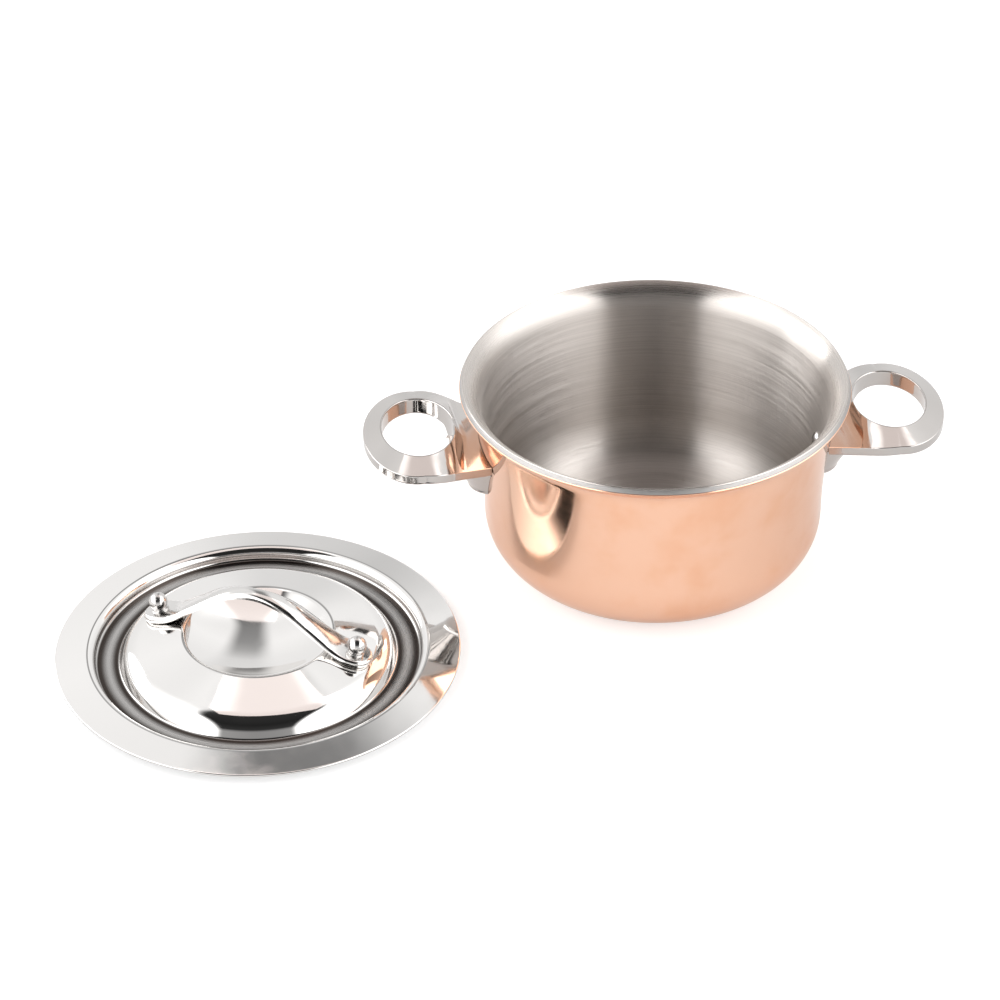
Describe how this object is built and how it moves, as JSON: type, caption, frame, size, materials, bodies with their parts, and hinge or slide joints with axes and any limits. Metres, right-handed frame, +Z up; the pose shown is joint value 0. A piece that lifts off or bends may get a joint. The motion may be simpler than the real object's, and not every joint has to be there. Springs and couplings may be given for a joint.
{
  "type": "two-handled pan with lid",
  "caption": "Small round copper-clad pan with flared rim and riveted ring handles, its domed steel lid with strap handle lying beside it.",
  "frame": {"origin": "centre of the pan's flat base, on the table", "axes": "+Z up out of the pan; the two ring handles lie along X; the lid lies to -X and -Y of the pan, its strap turned 25.9 degrees clockwise from X seen from above"},
  "size_m": [0.2772, 0.1657, 0.0623],
  "materials": {
    "copper": "polished copper",
    "aluminium_core": "rolled",
    "steel_lining": "brushed round the axis",
    "cast_steel": "mirror polished casting",
    "lid_steel": "mirror polished, gutter satin",
    "strap_steel": "polished strip",
    "rivet_steel": "polished"
  },
  "bodies": {
    "pan": {"copper_shell": "copper", "aluminium_core": "aluminium_core", "steel_lining": "steel_lining", "left_handle": "cast_steel", "right_handle": "cast_steel", "left_handle_rivet": "rivet_steel", "right_handle_rivet": "rivet_steel"},
    "lid": {"lid_disc": "lid_steel", "lid_handle": "strap_steel", "lid_ball_rivet_left": "rivet_steel", "lid_ball_rivet_right": "rivet_steel"}
  },
  "joints": [
    {"name": "lid_lift", "type": "slide", "parent": "pan", "child": "lid", "axis": [-0.3227, -0.1134, 0.9397], "range_m": [0, 0.12]}
  ]
}
